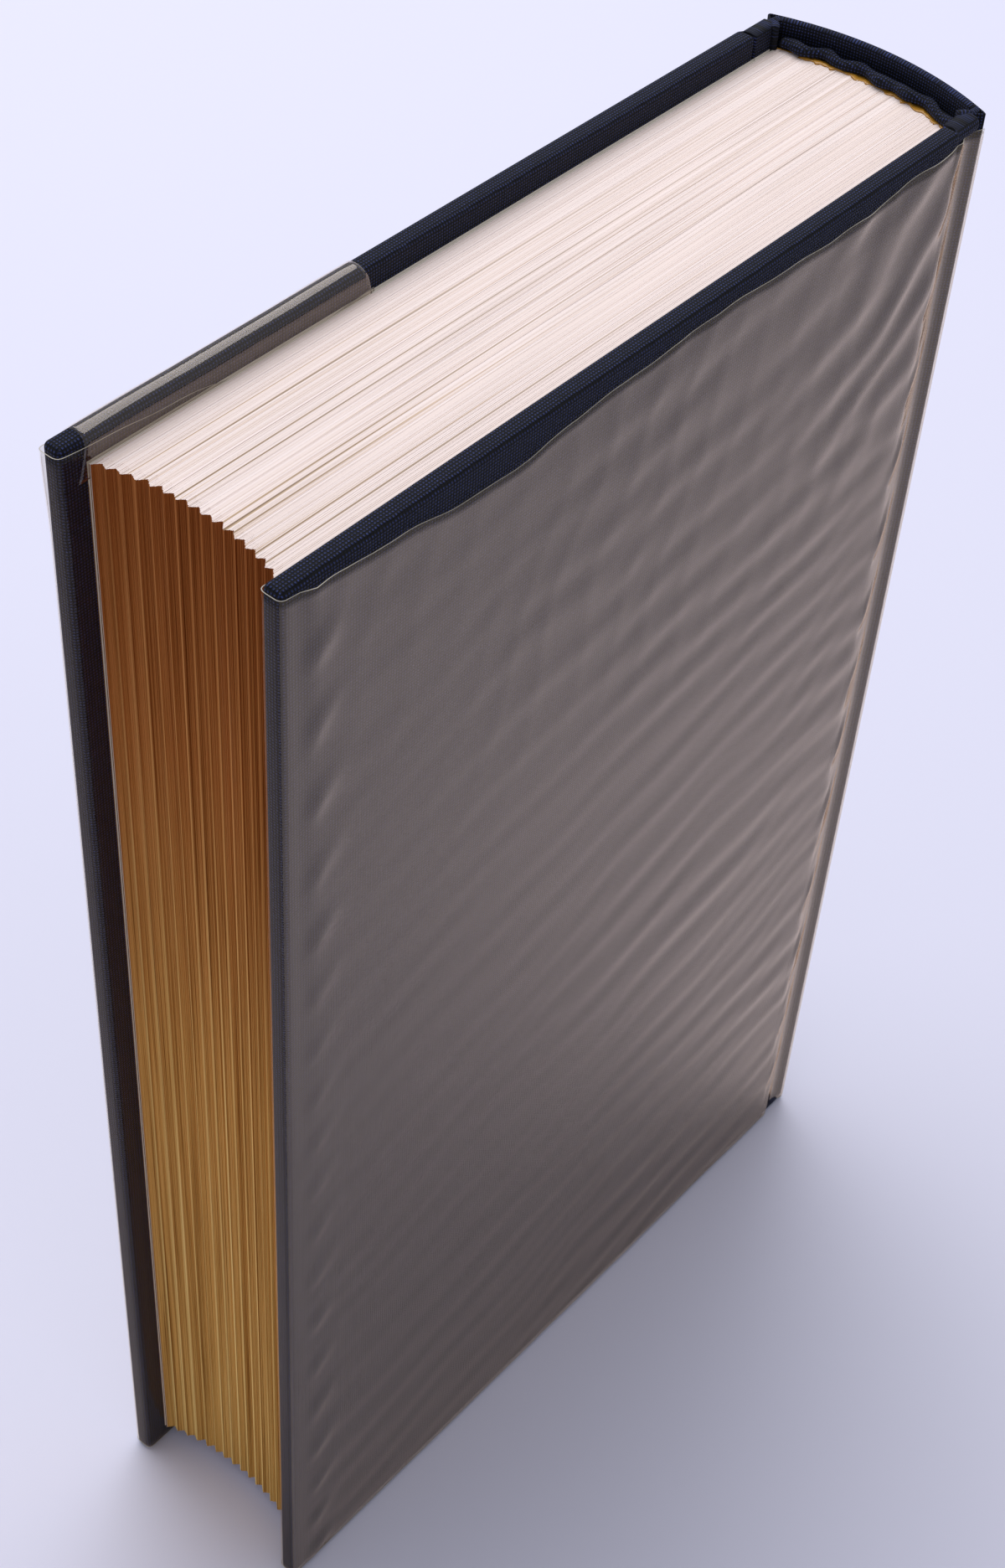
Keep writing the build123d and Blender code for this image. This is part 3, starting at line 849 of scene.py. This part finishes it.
for cover, side in (("back", 1), ("front", -1)):
    outside = rounded_path(
        [
            (bridge_start_x, skin_y - 0.1 * MM),
            (hinge_x + 0.3 * MM, cover_y - joint_dip),
            (board_end_x + 0.7 * MM, skin_y),
            (fold_x, skin_y),
            (fold_x, flap_y),
            (fold_x - flap_width[cover], flap_y),
        ],
        (1.3 * MM, 1.1 * MM, 1.0 * MM, 1.1 * MM),
    )
    path = evenly(outside, 1.0 * MM)
    outward, run = outward_and_run(path)
    grid = np.zeros((len(path), film_columns, 3))
    for i, (x, y) in enumerate(path):
        top = head_line(x)
        for j in range(film_columns):
            z = film_bottom + (top - film_bottom) * j / (film_columns - 1)
            rise = stand_off(run[i], z, x)
            loop = fold_loop[cover] * smooth_step(x, fold_x - 3 * MM, fold_x)
            loop *= smooth_step(z, 0.93 * case_height, top)
            grid[i, j] = (x + outward[i, 0] * rise + loop, side * (y + outward[i, 1] * rise), z)
    film = thick_sheet(f"{cover}_film", grid, film_thickness, side)
    for material in (clear_film, dimmed_film, film_edge):
        film.data.materials.append(material)
    for face in film.data.polygons:
        on_flap = side * face.center.y < flap_y + 0.5 * MM and face.center.x > hinge_x
        cut_end = on_flap and abs(face.normal.x) > 0.7 and face.center.x < fold_x - 5 * MM
        on_fold = abs(face.normal.x) > 0.75 and face.center.x > fold_x - 2 * MM
        face.material_index = 2 if cut_end or abs(face.normal.z) > 0.7 else int(on_flap or on_fold)
    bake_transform(film)
    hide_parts(f"{cover}_jacket")

spine_film_path = np.array([p for p in spine_path if p[0] < ear_x + 0.45 * MM])


def spine_film_lift(run, z, x):
    """How far the film stands off the cloth of the spine."""
    return film_thickness + film_gap + 0.05 * MM * (0.5 + 0.5 * sin(z / (11 * MM) + run / (5 * MM)))


grid = swept(spine_film_path, np.linspace(film_bottom, film_top - 0.4 * MM, 90), 1, spine_film_lift)
spine_film = thick_sheet("spine_film", grid, film_thickness, 1)
spine_film.data.materials.append(dimmed_film)
spine_film.data.materials.append(film_edge)
for face in spine_film.data.polygons:
    face.material_index = int(abs(face.normal.z) > 0.7)
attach(spine_film, "book")
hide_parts("spine_jacket")

# The front flap is drawn up over the head of its board, from near the corner to the flap's end.
hood_middle = -(cover_y + flap_y) / 2
hood_half = (cover_y - flap_y) / 2 + 0.3 * MM
hood_foot = case_height - 1.2 * MM
hood_rise = 1.6 * MM
hood_cut_depth = 1.6 * MM
hood_path = [(hood_middle - hood_half, film_top - 3.5 * MM)]
for a in np.linspace(0, pi, 15):
    hood_path.append((hood_middle - hood_half * cos(a), hood_foot + hood_rise * sin(a)))
hood_path += [(hood_middle + hood_half, film_top - 3 * MM)]
hood_path = evenly([np.array(p) for p in hood_path], 0.7 * MM)
hood_xs = np.linspace(fold_x - flap_width["front"], fold_x - 2.2 * MM, 60)
grid = np.zeros((len(hood_path), len(hood_xs), 3))
for i, (y, z) in enumerate(hood_path):
    for j, x in enumerate(hood_xs):
        along = (x - hood_xs[0]) / (hood_xs[-1] - hood_xs[0])
        curve = hood_cut_depth * (1 - (2 * i / (len(hood_path) - 1) - 1) ** 2)
        cut = curve * (smooth_step(along, 0.94, 1.0) - (1 - smooth_step(along, 0.0, 0.06)))
        puff = 0.12 * MM * sin(along * 9 + 0.5) * sin(pi * i / (len(hood_path) - 1))
        grid[i, j] = (x - cut, y, z + max(puff, 0))
hood = thick_sheet("front_film_hood", grid, film_thickness, 1)
hood.data.materials.append(film_material("clear_film_drawn_tight", "#fff3ea", 0.95, 0.03))
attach(hood, "front_cover")

# ---- Stage, light and camera --------------------------------------------------------------------
# A pale table with a faint lilac cast, under soft light from all round and one broad lamp high up
# on the front cover's side. Past the table the camera sees a plain pale backdrop.
floor_material, output = new_material("pale_table")
skin = add(floor_material, "BsdfPrincipled", Base_Color=colour("#e2e2f6"), Roughness=0.6,
    Specular_IOR_Level=0.2)
finish_material(floor_material, output, skin.outputs[0])
reach = 4.0
corners = [(-reach, -reach, 0), (reach, -reach, 0), (reach, reach, 0), (-reach, reach, 0)]
floor = mesh_object("floor", corners, [(0, 1, 2, 3)], smooth=False)
floor.data.materials.append(floor_material)

scene = bpy.context.scene
scene.view_settings.view_transform = "Standard"
world = bpy.data.worlds.new("studio")
scene.world = world
world.use_nodes = True
world.node_tree.nodes.clear()
seen = add(world, "LightPath").outputs["Is Camera Ray"]
soft_light = add(world, "Background", Color=(0.93, 0.94, 1.0, 1), Strength=0.45)
pale_backdrop = add(world, "Background", Color=colour("#dedef2"), Strength=1.0)
either = add(world, "MixShader", i0=seen, i1=soft_light.outputs[0], i2=pale_backdrop.outputs[0])
finish_material(world, add(world, "OutputWorld"), either.outputs[0])
lamp = bpy.data.lights.new("overhead", "AREA")
lamp.size = 1.4
lamp.energy = 17.0
lamp_object = bpy.data.objects.new("overhead", lamp)
lamp_object.location = (-0.35, -0.55, 1.3)
lamp_aim = Vector((0, 0, 0.1)) - lamp_object.location
lamp_object.rotation_euler = lamp_aim.to_track_quat("-Z", "Y").to_euler()
scene.collection.objects.link(lamp_object)

camera_data = bpy.data.cameras.new("camera")
camera_data.sensor_width = 36.0
camera_data.lens = 59.45
camera = bpy.data.objects.new("camera", camera_data)
aim_turn, aim_tilt, aim_roll = radians(-142.018), radians(-45.704), radians(4.19)
look = Vector((cos(aim_tilt) * cos(aim_turn), cos(aim_tilt) * sin(aim_turn), sin(aim_tilt)))
camera.location = (213.3 * MM, 162.4 * MM, 396.6 * MM)
camera.rotation_mode = "QUATERNION"
camera.rotation_quaternion = look.to_track_quat("-Z", "Y") @ Quaternion((0, 0, 1), aim_roll)
scene.collection.objects.link(camera)
scene.camera = camera
